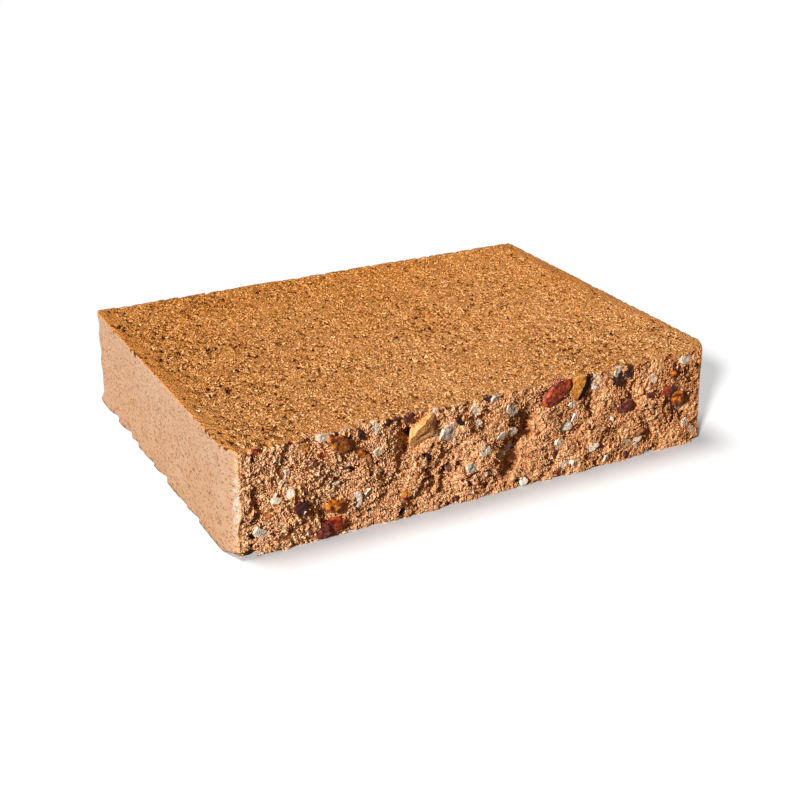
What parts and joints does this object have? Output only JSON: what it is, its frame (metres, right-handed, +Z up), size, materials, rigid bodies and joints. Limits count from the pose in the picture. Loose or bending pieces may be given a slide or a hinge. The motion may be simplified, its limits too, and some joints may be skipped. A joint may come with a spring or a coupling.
{
  "type": "split-face capping block",
  "caption": "Flat rectangular masonry capping block with a rough split front face, bevelled split ends, smooth moulded ends and a sandy top, laid as the top course of a garden wall.",
  "frame": {"origin": "middle of the bed face, on the bed plane", "axes": "+X along the block's length, -Y out of the split front face, +Z up from the bed to the top"},
  "size_m": [0.3, 0.2201, 0.06],
  "materials": {
    "earth_mix": "dry-cast earth-coloured mix: sandy pitted top, smooth peach moulded ends, split face with exposed white, red, amber and brown stones"
  },
  "bodies": {
    "root": {"capping_block": "earth_mix"}
  },
  "joints": []
}
